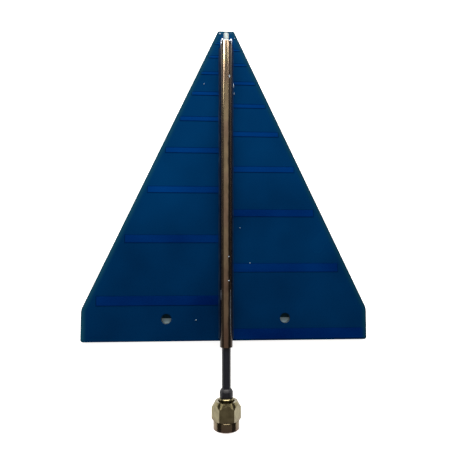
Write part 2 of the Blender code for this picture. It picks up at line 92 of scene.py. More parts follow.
# Foil pattern
FOIL_MARGIN = 0.3 * MM
SECOND_STRIP = 12.95 * MM
SECOND_PITCH = 10.45 * MM
PITCH_RATIO = 0.900
FIRST_WIDTH = 3.7 * MM
WIDTH_RATIO = 0.922
WIDE_INSET = 3.3 * MM
TIP_INSET = 0.5 * MM
BOOM_WIDTH = 4.8 * MM
FOIL_ROOT = 0.03 * MM
FOIL_SHOULDER = 0.09 * MM
SHOULDER_STEPS = (0.25, 0.5, 0.25)

# Plug
ACROSS_FLATS = 8.0 * MM
HEX_CORNER = ACROSS_FLATS / 2 / math.cos(math.pi / 6)
PITCH = 0.7056 * MM
THREAD_MAJOR = 6.35 * MM
NUT_SHOULDER = NUT_HIGH.y - 3.0 * MM
GROOVE_START = NUT_HIGH.y - 1.52 * MM
GROOVE_END = NUT_HIGH.y - 2.28 * MM
# With this many sides no edge of a round cutter meets a corner of the hexagon
CUTTER_SIDES = 126

# Two heights or places that differ by less than this are the same
NEAR = 0.01 * MM


def srgb(colour):
    """Linear RGBA of an sRGB hex colour."""
    channels = [int(colour[i:i + 2], 16) / 255 for i in (0, 2, 4)]
    linear = tuple(c / 12.92 if c <= 0.04045 else ((c + 0.055) / 1.055) ** 2.4 for c in channels)
    return linear + (1.0,)


COORDINATES = "ShaderNodeTexCoord"
MAPPING = "ShaderNodeMapping"
SEPARATE = "ShaderNodeSeparateXYZ"
NOISE = "ShaderNodeTexNoise"
WAVE = "ShaderNodeTexWave"
CHECKS = "ShaderNodeTexChecker"
RAMP = "ShaderNodeValToRGB"
SPAN = "ShaderNodeMapRange"
MIX = "ShaderNodeMix"
MATH = "ShaderNodeMath"
BUMP = "ShaderNodeBump"

# A Mix node set to colours, whose two colour inputs go by number
BLEND = {"data_type": "RGBA", "out": 2}
UNDER = 6
OVER = 7

# Bands of a Wave node of scale 1 lie this far apart, and a Noise node's values mostly lie in this span
BAND_SPACING = 0.314
NOISE_SPREAD = {"From Min": 0.25, "From Max": 0.75}


def connect(tree, node, inputs):
    """Set a node's inputs to values, or link them to other nodes' outputs."""
    for socket, value in inputs.items():
        if isinstance(value, bpy.types.NodeSocket):
            tree.links.new(value, node.inputs[socket])
        else:
            node.inputs[socket].default_value = value


def add(tree, kind, inputs, out=0, stops=(), **settings):
    """Add a node with its settings, links and ramp stops, and give back one of its outputs."""
    node = tree.nodes.new(kind)
    for key, value in settings.items():
        setattr(node, key, value)
    connect(tree, node, inputs)
    for index, (position, tone) in enumerate(stops):
        elements = node.color_ramp.elements
        element = elements[index] if index < len(elements) else elements.new(position)
        element.position = position
        element.color = srgb(tone)
    return node.outputs[out]


def surface(name, **numbers):
    """A material with its tree and its shader, whose plain numbers sit on the shader's own sockets."""
    material = bpy.data.materials.new(name)
    material.use_nodes = True
    tree = material.node_tree
    shader = tree.nodes["Principled BSDF"]
    connect(tree, shader, {socket.replace("_", " "): value for socket, value in numbers.items()})
    return material, tree, shader


def way_in(tree, across, along):
    """How far a spot lies in from the nearest of the board's sloping edge, straight side and tip."""
    normal = Vector((SLOPE_RISE, SLOPE_RUN)).normalized()
    corner = normal.dot(Vector((BOARD_HALF, SHOULDER_Y)))
    up_slope = add(tree, MATH, {0: along, 1: -normal.y, 2: corner}, operation="MULTIPLY_ADD")
    from_slope = add(tree, MATH, {0: across, 1: -normal.x, 2: up_slope}, operation="MULTIPLY_ADD")
    from_side = add(tree, MATH, {0: BOARD_HALF, 1: across}, operation="SUBTRACT")
    from_tip = add(tree, MATH, {0: TIP_END, 1: along}, operation="SUBTRACT")
    sides = add(tree, MATH, {0: from_slope, 1: from_side}, operation="MINIMUM")
    return add(tree, MATH, {0: sides, 1: from_tip}, operation="MINIMUM")


def solder_mask(name, dark, light, metallic=0.0, gloss=0.12):
    """Screen-printed epoxy ink, dyed blue: glossy, in slow patches, and painted lighter towards the tip and
    the left as the sheen of the light from there.
    The glass cloth's weave shows faintly under it, and the thinner ink along the routed rim lets the green
    of the laminate through."""
    tint = srgb("46B4FF")
    material, tree, shader = surface(name, Metallic=metallic, Specular_IOR_Level=gloss, Specular_Tint=tint)
    spot = add(tree, COORDINATES, {}, "Object")
    sideways = add(tree, SEPARATE, {"Vector": spot}, "X")
    across = add(tree, MATH, {0: sideways}, operation="ABSOLUTE")
    along = add(tree, SEPARATE, {"Vector": spot}, "Y")
    patches = add(tree, NOISE, {"Vector": spot, "Scale": 1 / (22 * MM), "Detail": 2.0})
    flecks = add(tree, NOISE, {"Vector": spot, "Scale": 1 / (0.5 * MM), "Detail": 3.0})
    # Painted light: the ink is lighter towards the tip and the left, where the light's sheen falls on the
    # board
    diagonal = add(tree, MATH, {0: sideways, 1: -0.4, 2: along}, operation="MULTIPLY_ADD")
    painted_light_tipward = add(tree, SPAN, {"Value": diagonal, "From Min": -25 * MM, "From Max": 65 * MM})
    uneven = add(tree, MIX, {"Factor": 0.2, "A": patches, "B": flecks})
    depth = add(tree, MIX, {"Factor": 0.35, "A": uneven, "B": painted_light_tipward})
    ink = add(tree, RAMP, {"Fac": depth}, stops=((0.2, dark), (0.8, light)))
    inward = way_in(tree, across, along)
    band = {"Value": inward, "From Min": 0.1 * MM, "From Max": RIM_BAND, "To Min": 0.8, "To Max": 0.0}
    thin = add(tree, SPAN, band, interpolation_type="SMOOTHSTEP")
    # Painted light: the rim's ink is lighter towards the left, as a sheen from that side
    painted_light_leftward = add(tree, SPAN, {"Value": sideways, "From Min": 25 * MM, "From Max": -25 * MM})
    rim = add(tree, RAMP, {"Fac": painted_light_leftward}, stops=((0.0, "103848"), (1.0, "18485A")))
    coloured = add(tree, MIX, {"Factor": thin, UNDER: ink, OVER: rim}, **BLEND)
    # Plain weave of the glass cloth, one thread to 0.5 mm
    weave = {"Vector": spot, "Scale": BAND_SPACING / (0.5 * MM), "Distortion": 0.5}
    warp = add(tree, WAVE, weave, "Fac", bands_direction="X")
    weft = add(tree, WAVE, weave, "Fac", bands_direction="Y")
    cloth = add(tree, MATH, {0: warp, 1: weft}, operation="ADD")
    connect(tree, shader, {
        "Base Color": coloured,
        "Roughness": add(tree, SPAN, {"Value": patches, **NOISE_SPREAD, "To Min": 0.2, "To Max": 0.28}),
        "Normal": add(tree, BUMP, {"Height": cloth, "Distance": 0.002 * MM})})
    return material


def laminate_edge(name, tones):
    """Cut glass-epoxy laminate: dull, in thin plies, and darker where the mask ran over it."""
    material, tree, shader = surface(name, Roughness=0.7, IOR=1.5)
    spot = add(tree, COORDINATES, {}, "Object")
    # Plies 0.2 mm thick
    ply = {"Vector": spot, "Scale": BAND_SPACING / (0.2 * MM), "Distortion": 1.5, "Detail": 2.0}
    plies = add(tree, WAVE, ply, "Fac", bands_direction="Z")
    lengthwise = add(tree, MAPPING, {"Vector": spot, "Scale": (0.2, 0.2, 1)})
    bundles = {"Vector": lengthwise, "Scale": 1 / (0.15 * MM), "Detail": 3.0, "Roughness": 0.6}
    fibres = add(tree, NOISE, bundles)
    both = add(tree, MIX, {"Factor": 0.5, "A": plies, "B": fibres})
    connect(tree, shader, {
        "Base Color": add(tree, RAMP, {"Fac": both}, stops=zip((0.3, 0.55, 0.8), tones)),
        "Normal": add(tree, BUMP, {"Height": fibres, "Distance": 0.03 * MM})})
    return material


def bare_copper():
    """Drawn copper tube: satin, straw and pink where the iron heated it, and painted dark and dull down its
    flanks as the shade and the dark board's reflection there."""
    material, tree, shader = surface("drawn_copper", Specular_IOR_Level=0.1)
    spot = add(tree, COORDINATES, {}, "Object")
    sideways = add(tree, SEPARATE, {"Vector": spot}, "X")
    along = add(tree, SEPARATE, {"Vector": spot}, "Y")
    level = add(tree, SEPARATE, {"Vector": spot}, "Z")
    lengthwise = add(tree, MAPPING, {"Vector": spot, "Scale": (0.3, 1, 0.3)})
    warmth = {"Vector": lengthwise, "Scale": 1 / (14 * MM), "Detail": 3.0, "Roughness": 0.55}
    heat = add(tree, NOISE, warmth)
    tints = zip((0.3, 0.45, 0.55, 0.7), ("B29882", "C4AB92", "CEBC98", "BCA990"))
    tint = add(tree, RAMP, {"Fac": heat}, stops=tints)
    # Brown stains 2 mm long, thicker towards the plug, over a brown that fades out before the tip
    streaks = add(tree, MAPPING, {"Vector": spot, "Scale": (1, 0.35, 1)})
    spread = {"Vector": streaks, "Scale": 1 / (2.2 * MM), "Detail": 4.0, "Roughness": 0.6}
    stains = add(tree, NOISE, spread)
    stained = add(tree, SPAN, {"Value": stains, "From Min": 0.42, "From Max": 0.68})
    from_plug = {"Value": along, "From Min": -38 * MM, "From Max": 30 * MM}
    share = add(tree, SPAN, {**from_plug, "To Min": 0.8, "To Max": 0.25})
    stain = add(tree, MATH, {0: stained, 1: share}, operation="MULTIPLY")
    browned = add(tree, MIX, {"Factor": stain, UNDER: tint, OVER: srgb("5A463C")}, **BLEND)
    # Darker brown towards the plug, fading out before the tip
    towards_plug = add(tree, SPAN, {**from_plug, "To Min": 0.85, "To Max": 0.0})
    browner_towards_plug = add(tree, MIX, {"Factor": towards_plug, UNDER: browned, OVER: srgb("70594C")}, **BLEND)
    # Painted shade down the flanks, where the tube mirrors the dark board beside it: dark, duller copper
    # below a line that wanders by 0.25 mm
    wander = add(tree, NOISE, {"Vector": spot, "Scale": 1 / (3 * MM), "Detail": 3.0})
    leaning = add(tree, MATH, {0: sideways, 1: -0.2, 2: level}, operation="MULTIPLY_ADD")
    height = add(tree, MATH, {0: wander, 1: 0.25 * MM, 2: leaning}, operation="MULTIPLY_ADD")
    flank_line = {"From Min": AXIS + 1.86 * MM, "From Max": AXIS + 2.03 * MM}
    painted_dark_flanks = add(tree, SPAN, {"Value": height, **flank_line, "To Min": 1.0, "To Max": 0.0})
    # Drawing marks along the tube, drawn 0.25 mm apart, coarser than the real ones
    lines = add(tree, MAPPING, {"Vector": spot, "Scale": (1, 0.05, 1)})
    drawing = {"Vector": lines, "Scale": 1 / (0.25 * MM), "Detail": 3.0, "Roughness": 0.6}
    scratches = add(tree, NOISE, drawing)
    relief = add(tree, MATH, {0: scratches, 1: stains}, operation="ADD")
    polish = add(tree, SPAN, {"Value": stains, **NOISE_SPREAD, "To Min": 0.11, "To Max": 0.16})
    connect(tree, shader, {
        "Base Color": add(tree, MIX, {"Factor": painted_dark_flanks, UNDER: browner_towards_plug, OVER: srgb("3C342E")}, **BLEND),
        "Metallic": add(tree, SPAN, {"Value": painted_dark_flanks, "To Min": 1.0, "To Max": 0.9}),
        "Roughness": add(tree, MATH, {0: painted_dark_flanks, 1: 0.12, 2: polish}, operation="MULTIPLY_ADD"),
        "Normal": add(tree, BUMP, {"Height": relief, "Distance": 0.006 * MM})})
    return material


def solder(name, dull, bright, roughness, grain, metallic=1.0):
    """Tin solder that set from the melt: bright where it ran, grey and grainy where it cooled slowly."""
    material, tree, shader = surface(name, Metallic=metallic)
    spot = add(tree, COORDINATES, {}, "Object")
    crystals = add(tree, NOISE, {"Vector": spot, "Scale": 1 / grain, "Detail": 4.0, "Roughness": 0.6})
    frosting = {"Value": crystals, **NOISE_SPREAD, "To Min": roughness * 0.7, "To Max": roughness * 1.4}
    connect(tree, shader, {
        "Base Color": add(tree, RAMP, {"Fac": crystals}, stops=((0.35, dull), (0.65, bright))),
        "Roughness": add(tree, SPAN, frosting),
        "Normal": add(tree, BUMP, {"Height": crystals, "Distance": 0.02 * MM})})
    return material


def gold_plate(name, turned_marks):
    """Thin gold plate over machined brass: pale and mirror-like, with the tool's marks still under it, and
    browner over the first 4.5 mm behind the nut's front."""
    material, tree, shader = surface(name, Metallic=1.0)
    spot = add(tree, COORDINATES, {}, "Object")
    along = add(tree, SEPARATE, {"Vector": spot}, "Y")
    haze = add(tree, NOISE, {"Vector": spot, "Scale": 1 / (1.6 * MM), "Detail": 3.0})
    plate = add(tree, RAMP, {"Fac": haze}, stops=((0.35, "6B644A"), (0.65, "7E775A")))
    # Browner towards the nut's front, over its first 4.5 mm
    front = {"From Min": NUT_LOW.y, "From Max": NUT_LOW.y + 4.5 * MM}
    browner_front = add(tree, SPAN, {"Value": along, **front, "To Min": 0.85, "To Max": 0.0})
    if turned_marks:
        # Tool marks 0.06 mm apart, round the axis
        cuts = {"Vector": spot, "Scale": BAND_SPACING / (0.06 * MM), "Distortion": 0.6}
        marks = add(tree, WAVE, cuts, "Fac", bands_direction="Y")
    else:
        # Milling marks across the flats, drawn 0.12 mm apart
        lengthwise = add(tree, MAPPING, {"Vector": spot, "Scale": (1, 0.1, 1)})
        cuts = {"Vector": lengthwise, "Scale": 1 / (0.12 * MM), "Detail": 3.0, "Roughness": 0.6}
        marks = add(tree, NOISE, cuts)
    connect(tree, shader, {
        "Base Color": add(tree, MIX, {"Factor": browner_front, UNDER: plate, OVER: srgb("64504A")}, **BLEND),
        "Roughness": add(tree, SPAN, {"Value": haze, **NOISE_SPREAD, "To Min": 0.12, "To Max": 0.24}),
        "Normal": add(tree, BUMP, {"Height": marks, "Distance": 0.0015 * MM})})
    return material


def polymer(name, dark, light, roughness, grain, depth, **numbers):
    """Extruded or shrunk plastic: a soft sheen over a fine uneven skin."""
    material, tree, shader = surface(name, IOR=1.48, **numbers)
    spot = add(tree, COORDINATES, {}, "Object")
    skin = add(tree, NOISE, {"Vector": spot, "Scale": 1 / grain, "Detail": 3.0, "Roughness": 0.55})
    sheen = {"Value": skin, **NOISE_SPREAD, "To Min": roughness * 0.85, "To Max": roughness * 1.2}
    connect(tree, shader, {
        "Base Color": add(tree, RAMP, {"Fac": skin}, stops=((0.3, dark), (0.7, light))),
        "Roughness": add(tree, SPAN, sheen),
        "Normal": add(tree, BUMP, {"Height": skin, "Distance": depth})})
    return material


def silvered_braid():
    """Silvered wires woven round the cable, four threads to the millimetre: a bright fine basket."""
    material, tree, shader = surface("silvered_braid", Roughness=0.3, Metallic=1.0)
    spot = add(tree, COORDINATES, {}, "Object")
    threads = add(tree, CHECKS, {"Vector": spot, "Scale": 1 / (0.25 * MM)}, "Fac")
    connect(tree, shader, {
        "Base Color": add(tree, RAMP, {"Fac": threads}, stops=((0.0, "9A9A96"), (1.0, "D2D3CF"))),
        "Normal": add(tree, BUMP, {"Height": threads, "Distance": 0.03 * MM})})
    return material


def sheet(name, dark, light, glow):
    """Plain matt paper or card, faintly mottled, and lit from below where it glows."""
    material, tree, shader = surface(name, Roughness=0.9, IOR=1.4, Specular_IOR_Level=0.1,
                                     Emission_Strength=glow, Emission_Color=srgb("FFFFFF"))
    spot = add(tree, COORDINATES, {}, "Object")
    mottle = add(tree, NOISE, {"Vector": spot, "Scale": 1 / (8 * MM)})
    tones = add(tree, RAMP, {"Fac": mottle}, stops=((0.3, dark), (0.7, light)))
    connect(tree, shader, {"Base Color": tones})
    return material


MASK = solder_mask("blue_solder_mask", "001E42", "003A6E")
MASKED_COPPER = solder_mask("mask_over_copper", "001048", "00428C", 0.1, 0.08)
# A darker, unglossy ink on the foil strips' sloping shoulders, which outlines each strip
SHOULDER_MASK = solder_mask("darker_mask_down_foil_edges", "001A40", "002450", 0.0, 0.0)
EDGE = laminate_edge("routed_glass_epoxy", ("141D1E", "2C3A33", "5B614A"))
RIM = laminate_edge("mask_run_over_the_rim", ("040C12", "0A161E", "142228"))
BORED = laminate_edge("drilled_glass_epoxy", ("263236", "3C4A4E", "56646A"))
COPPER = bare_copper()
BRIGHT_SOLDER = solder("bright_tin_solder", "A2B0C6", "DAE4F2", 0.2, 0.35 * MM)
# Painted shade: the seam along the tube is coloured like the blue mask in the tube's shade beside it
SEAM_SOLDER_IN_PAINTED_SHADE = solder("seam_solder_painted_as_shaded_mask", "041C40", "12304E", 0.45, 1.3 * MM, 0.3)
SMEARED_SOLDER = solder("smeared_tin_solder", "4A4E54", "80858C", 0.35, 0.5 * MM, 0.8)
SPLASHED_SOLDER = solder("splashed_tin_solder", "7C94B4", "B8CCE0", 0.3, 0.3 * MM, 0.15)
NUT_GOLD = gold_plate("gold_plated_nut", False)
TURNED_GOLD = gold_plate("gold_plated_turning", True)
JACKET = polymer("black_cable_jacket", "0A0C16", "131724", 0.42, 0.6 * MM, 0.01 * MM)
SHRINK = polymer("black_shrink_sleeve", "07080F", "11131D", 0.5, 0.5 * MM, 0.012 * MM)
WHITE = polymer("white_fluoropolymer", "828E92", "919DA1", 0.35, 0.8 * MM, 0.004 * MM,
                Subsurface_Weight=0.25, Subsurface_Scale=0.8 * MM)
SILVER = solder("silvered_copper_wire", "A9AAA6", "D9DAD6", 0.28, 0.3 * MM)
BRAID = silvered_braid()
BRONZE = solder("bronze_spring_wire", "8A6A38", "C29A58", 0.3, 0.3 * MM)


def named(name):
    """Name the piece that was just added or joined, and its mesh."""
    piece = bpy.context.object
    piece.name = name
    piece.data.name = name
    return piece


def choose(*pieces):
    """Select these pieces alone, with the first one active."""
    bpy.ops.object.select_all(action="DESELECT")
    for piece in pieces:
        piece.select_set(True)
    bpy.context.view_layer.objects.active = pieces[0]


def settle(piece):
    """Leave a piece at the origin, unturned and unscaled, with its place in its mesh."""
    choose(piece)
    bpy.ops.object.transform_apply(location=True, rotation=True, scale=True)


def edit(piece):
    """Go into edit mode with all of the piece selected."""
    choose(piece)
    bpy.ops.object.mode_set(mode="EDIT")
    bpy.ops.mesh.select_mode(type="VERT")
    bpy.ops.mesh.select_all(action="SELECT")


def done():
    bpy.ops.object.mode_set(mode="OBJECT")


def pick(piece, kind, test):
    """Select the faces, edges or verts that pass a test, in edit mode."""
    bpy.ops.mesh.select_mode(type={"verts": "VERT", "edges": "EDGE", "faces": "FACE"}[kind])
    bpy.ops.mesh.select_all(action="DESELECT")
    bm = bmesh.from_edit_mesh(piece.data)
    for item in getattr(bm, kind):
        if test(item):
            item.select = True
    bm.select_flush_mode()
    bmesh.update_edit_mesh(piece.data)


def extrude(offset):
    bpy.ops.mesh.extrude_region_move(TRANSFORM_OT_translate={"value": offset})


def face_outwards():
    """Turn all faces of the piece in edit mode outwards."""
    bpy.ops.mesh.select_all(action="SELECT")
    bpy.ops.mesh.normals_make_consistent(inside=False)


def modify(piece, kind, **settings):
    """Add a modifier and apply it."""
    choose(piece)
    modifier = piece.modifiers.new(kind.lower(), kind)
    for key, value in settings.items():
        setattr(modifier, key, value)
    bpy.ops.object.modifier_apply(modifier=modifier.name)


def ease(piece, width, segments, degrees=50):
    """Round the edges that turn by more than some degrees."""
    modify(piece, "BEVEL", width=width, segments=segments, limit_method="ANGLE",
           angle_limit=math.radians(degrees))


def carve(piece, tool, operation="DIFFERENCE"):
    """Cut, join or trim a piece by another, which goes."""
    modify(piece, "BOOLEAN", object=tool, operation=operation, solver="EXACT")
    bpy.data.objects.remove(tool, do_unlink=True)


def smooth(piece, degrees=35):
    choose(piece)
    bpy.ops.object.shade_smooth_by_angle(angle=math.radians(degrees))


def finish_piece(piece, material, body, slot, *nodes):
    """Give a piece its material, its body and the nodes that it stands for."""
    piece.data.materials.clear()
    piece.data.materials.append(material)
    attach(piece, body)
    if nodes:
        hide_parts(*nodes)


def turned(name, profile, sides=96, closed=True):
    """A ring of edges, drawn out and scaled from one (radius, y) to the next about the boom's axis."""
    radius, station = profile[0]
    bpy.ops.mesh.primitive_circle_add(vertices=sides, radius=radius, location=(0, station, AXIS),
                                      rotation=(math.pi / 2, 0, 0))
    piece = named(name)
    settle(piece)
    edit(piece)
    for next_radius, next_station in profile[1:] + ([profile[0]] if closed else []):
        extrude((0, next_station - station, 0))
        factor = next_radius / radius
        bpy.ops.transform.resize(value=(factor, 1, factor), center_override=(0, next_station, AXIS))
        radius, station = next_radius, next_station
    bpy.ops.mesh.select_all(action="SELECT")
    if closed:
        bpy.ops.mesh.remove_doubles(threshold=1e-6)
    else:
        bpy.ops.mesh.fill_holes(sides=0)
    face_outwards()
    done()
    return piece


def drill(centre, diameter, low, high, sides=64):
    """A round cutter that stands on the board and reaches past these two heights."""
    over = 1 * MM
    bpy.ops.mesh.primitive_cylinder_add(vertices=sides, radius=diameter / 2, depth=high - low + 2 * over,
                                        location=(centre[0], centre[1], (low + high) / 2))
    return named("cutter")


def make_board():
    """A rectangle trimmed along its slopes, rounded at its corners, thickened, drilled and eased."""
    bpy.ops.mesh.primitive_plane_add(size=1, location=(0, (WIDE_END + TIP_END) / 2, BOARD_BOTTOM))
    board = named("masked_board")
    board.scale = (2 * BOARD_HALF, BOARD_LENGTH, 1)
    settle(board)
    edit(board)
    for side in (1, -1):
        bpy.ops.mesh.select_all(action="SELECT")
        bpy.ops.mesh.bisect(plane_co=(side * BOARD_HALF, SHOULDER_Y, 0),
                            plane_no=(side * SLOPE_RISE, SLOPE_RUN, 0), clear_outer=True)
    square = math.pi / 2
    slope = math.atan2(SLOPE_RUN, SLOPE_RISE)
    corners = ((WIDE_END, CORNER_RADIUS, square), (SHOULDER_Y, SHOULDER_RADIUS, slope),
               (TIP_END, TIP_RADIUS, square - slope))
    for level, radius, turn in corners:
        pick(board, "verts", lambda v: abs(v.co.y - level) < NEAR)
        bpy.ops.mesh.bevel(offset=radius * math.tan(turn / 2), segments=8, affect="VERTICES")
    bpy.ops.mesh.select_mode(type="FACE")
    bpy.ops.mesh.select_all(action="SELECT")
    extrude((0, 0, BOARD_TOP - BOARD_BOTTOM))
    face_outwards()
    done()
    for hole in HOLES:
        carve(board, drill(hole, HOLE_DIAMETER, BOARD_BOTTOM, BOARD_TOP))
    carve(board, drill((0, CORE_Y), CORE_HOLE, BOARD_BOTTOM, BOARD_TOP, 32))
    ease(board, ROUTED_EDGE, 2)
    finish_piece(board, MASK, BODY, "mask", "board_laminate")
    paint_board(board)


def paint_board(board):
    """Mask on the flat faces and round the holes, a thin run of it over the rim, and bare laminate where it
    was routed or drilled."""
    bored = HOLES + [(0, CORE_Y)]
    for material in (EDGE, RIM, BORED):
        board.data.materials.append(material)
    for face in board.data.polygons:
        flat = abs(face.normal.z) > 0.999
        upright = abs(face.normal.z) < 0.3
        at_hole = any(math.dist(face.center[:2], hole) < HOLE_DIAMETER for hole in bored)
        if flat:
            kind = MASK
        elif at_hole:
            kind = BORED if upright else MASK
        else:
            kind = EDGE if upright else RIM
        face.material_index = board.data.materials.find(kind.name)


def strip(index):
    """Lower edge, upper edge and reach from the middle of one foil strip, counted from the wide end."""
    width = FIRST_WIDTH * WIDTH_RATIO ** index
    rows = (1 - PITCH_RATIO ** (index - 1)) / (1 - PITCH_RATIO)
    centre = max(SECOND_STRIP + SECOND_PITCH * rows, FOIL_MARGIN + width / 2)
    share = (BOARD_LENGTH - centre) / SLOPE_RISE
    sloping_edge = (TIP_WIDTH + (2 * BOARD_HALF - TIP_WIDTH) * share) / 2
    inset = TIP_INSET + (WIDE_INSET - TIP_INSET) * share
    reach = min(sloping_edge - inset, BOARD_HALF - FOIL_MARGIN)
    return WIDE_END + centre - width / 2, WIDE_END + centre + width / 2, reach


def all_strips():
    """Every strip that ends below the core's hole and reaches past the boom."""
    strips = []
    while strip(len(strips))[1] < CORE_Y and strip(len(strips))[2] > BOOM_WIDTH / 2:
        strips.append(strip(len(strips)))
    return strips


def make_relief(name, side, level, height, node):
    """The boom and its strips, drawn out sideways from the boom and raised with sloping shoulders."""
    strips = all_strips()
    start = strips[0][0]
    end = CORE_Y + CORE_HOLE
    half = BOOM_WIDTH / 2
    bpy.ops.mesh.primitive_plane_add(size=1, location=(0, (start + end) / 2, level))
    relief = named(name)
    relief.scale = (BOOM_WIDTH, end - start, 1)
    settle(relief)
    edit(relief)
    for low, high, _ in strips:
        for cut in (low, high):
            if cut > start + NEAR:
                bpy.ops.mesh.select_all(action="SELECT")
                bpy.ops.mesh.bisect(plane_co=(0, cut, 0), plane_no=(0, 1, 0))
    for index, (low, high, reach) in enumerate(strips):
        sign = side if index % 2 == 0 else -side

        def on_flank(edge):
            ends = [vert.co for vert in edge.verts]
            middle = (ends[0].y + ends[1].y) / 2
            return all(abs(end.x - sign * half) < NEAR for end in ends) and low < middle < high

        pick(relief, "edges", on_flank)
        extrude((sign * (reach - half), 0, 0))
    up = 1 if height > 0 else -1
    bpy.ops.mesh.select_mode(type="FACE")
    bpy.ops.mesh.select_all(action="SELECT")
    extrude((0, 0, -up * FOIL_ROOT))
    face_outwards()
    for step in SHOULDER_STEPS:
        top = max(vert.co.z * up for vert in bmesh.from_edit_mesh(relief.data).verts)

        def on_top(face):
            return abs(face.calc_center_median().z * up - top) < 0.1 * NEAR and face.normal.z * up > 0.99

        pick(relief, "faces", on_top)
        bpy.ops.mesh.inset(thickness=FOIL_SHOULDER, depth=step * abs(height), use_even_offset=True)
    done()
    bare_ring = 2 * MM if side > 0 else CORE_HOLE
    carve(relief, drill((0, CORE_Y), bare_ring, level, level, 48))
    finish_piece(relief, MASKED_COPPER, BODY, "foil", node)
    paint_relief(relief)


def paint_relief(relief):
    """Darker mask down the sloping shoulders, which outlines each strip, and the board's own mask on the
    boom's end past the tube.
    """
    for material in (MASK, SHOULDER_MASK):
        relief.data.materials.append(material)
    for face in relief.data.polygons:
        if face.center.y > TUBE_HIGH.y and abs(face.center.x) < BOOM_WIDTH / 2:
            kind = MASK
        elif abs(face.normal.z) < 0.995:
            kind = SHOULDER_MASK
        else:
            kind = MASKED_COPPER
        face.material_index = relief.data.materials.find(kind.name)


def make_tube():
    """Drawn tube with both ends eased."""
    wall = 0.5 * MM
    bore = TUBE_R - wall
    low, high = TUBE_LOW.y, TUBE_HIGH.y
    tube = turned("copper_tube", [(TUBE_R, low), (TUBE_R, high), (bore, high), (bore, low)], 128)
    ease(tube, 0.08 * MM, 3)
    smooth(tube)
    finish_piece(tube, COPPER, BODY, "copper", "feed_tube")


def make_jacket():
    """The cable's sleeve, which runs on inside the copper tube."""
    wall = 0.34 * MM
    low, high = JACKET_LOW.y, JACKET_HIGH.y
    radius = (JACKET_HIGH.x - JACKET_LOW.x) / 2
    bore = radius - wall
    jacket = turned("cable_jacket", [(radius, low), (radius, high), (bore, high), (bore, low)], 64)
    smooth(jacket)
    finish_piece(jacket, JACKET, BODY, "jacket", "coax_jacket")


def make_boot():
    """Shrunk tight on the jacket at its neck, and wide over the crimp."""
    low, high = BOOT_LOW.y, BOOT_HIGH.y
    radius = (BOOT_HIGH.x - BOOT_LOW.x) / 2
    neck = 1.45 * MM
    room = 1.62 * MM
    mouth = radius - 0.12 * MM
    shoulder = radius - 0.22 * MM
    collar = neck + 0.1 * MM
    boot = turned("shrink_boot", [
        (mouth, low), (radius, low + 0.5 * MM), (radius, high - 0.95 * MM), (shoulder, high - 0.45 * MM),
        (collar, high), (neck, high), (neck, high - 0.3 * MM), (room, high - 0.6 * MM), (room, low)], 64)
    ease(boot, 0.12 * MM, 3, 20)
    smooth(boot, 60)
    finish_piece(boot, SHRINK, BODY, "boot", "crimp_boot")


def make_dielectric():
    """Follow the cable past the tube's end, where it dips towards the board."""
    radius = (DIELECTRIC_HIGH.x - DIELECTRIC_LOW.x) / 2
    bend = 5 * MM
    dip = math.radians(18)
    run = 2 * MM
    steps = 8
    bpy.ops.mesh.primitive_circle_add(vertices=48, radius=radius, fill_type="NGON",
                                      location=(0, DIELECTRIC_LOW.y, AXIS), rotation=(math.pi / 2, 0, 0))
    core = named("cable_dielectric")
    settle(core)
    edit(core)
    extrude((0, TUBE_HIGH.y - DIELECTRIC_LOW.y, 0))
    y, z = TUBE_HIGH.y, AXIS
    for step in range(1, steps + 1):
        angle = dip * step / steps
        next_y = TUBE_HIGH.y + bend * math.sin(angle)
        next_z = AXIS + bend * (math.cos(angle) - 1)
        extrude((0, next_y - y, next_z - z))
        bpy.ops.transform.rotate(value=dip / steps, orient_axis="X", center_override=(0, next_y, next_z))
        y, z = next_y, next_z
    extrude((0, run * math.cos(dip), -run * math.sin(dip)))
    face_outwards()
    done()
    ease(core, 0.15 * MM, 3)
    smooth(core)
    finish_piece(core, WHITE, BODY, "white", "coax_dielectric")


def hexagon_bar(name, length, y):
    """Bar stock that lies on one of its flats."""
    bpy.ops.mesh.primitive_cylinder_add(vertices=6, radius=HEX_CORNER, depth=length, location=(0, y, AXIS),
                                        rotation=(math.pi / 2, 0, 0))
    bar = named(name)
    settle(bar)
    edit(bar)
    bpy.ops.transform.rotate(value=math.pi / 6, orient_axis="Y", center_override=(0, y, AXIS))
    done()
    return bar


def make_nut():
    """Hexagon stock, turned down at its front and chamfered at its rear, then given its lip and bored."""
    rear, front = NUT_HIGH.y, NUT_LOW.y
    nut = hexagon_bar("hex_coupling_nut", rear - front, (rear + front) / 2)
    # Cutters start at this radius, inside the bore
    inside = 0.5 * MM
    over = 0.5 * MM
    stock = HEX_CORNER + 0.3 * MM
    neck = 3.9 * MM
    rear_r = 3.5 * MM
    chamfer = math.tan(math.radians(30))
    rim = front + 0.3 * MM
    lip_end = front + 2.8 * MM
    turning = turned("cutter", [
        (inside, rim), (neck, rim), (neck, lip_end), (stock, lip_end + (stock - neck) * chamfer),
        (stock, rear - (stock - rear_r) / chamfer), (rear_r - over * chamfer, rear + over),
        (inside, rear + over)], CUTTER_SIDES, closed=False)
    carve(nut, turning, "INTERSECT")
    lip = 4.1 * MM
    lip_chamfer = 0.3 * MM
    step = 0.05 * MM
    ring = turned("cutter", [
        (inside, front), (lip - lip_chamfer, front), (lip, front + lip_chamfer), (lip, lip_end),
        (lip - step, lip_end + step), (inside, lip_end + step)], CUTTER_SIDES, closed=False)
    carve(nut, ring, "UNION")
    root = THREAD_MAJOR / 2
    mouth = 3.3 * MM
    bore = 2.65 * MM
    groove = 2.88 * MM
    boring = turned("cutter", [
        (mouth + over, front - over), (root, front + mouth - root), (root, NUT_SHOULDER),
        (bore, NUT_SHOULDER), (bore, GROOVE_END), (groove, GROOVE_END), (groove, GROOVE_START),
        (bore, GROOVE_START), (bore, rear + over)], CUTTER_SIDES, closed=False)
    carve(nut, boring)
    ease(nut, 0.03 * MM, 2, 28)
    smooth(nut, 20)
    finish_piece(nut, NUT_GOLD, NUT_BODY, "gold", "coupling_nut")


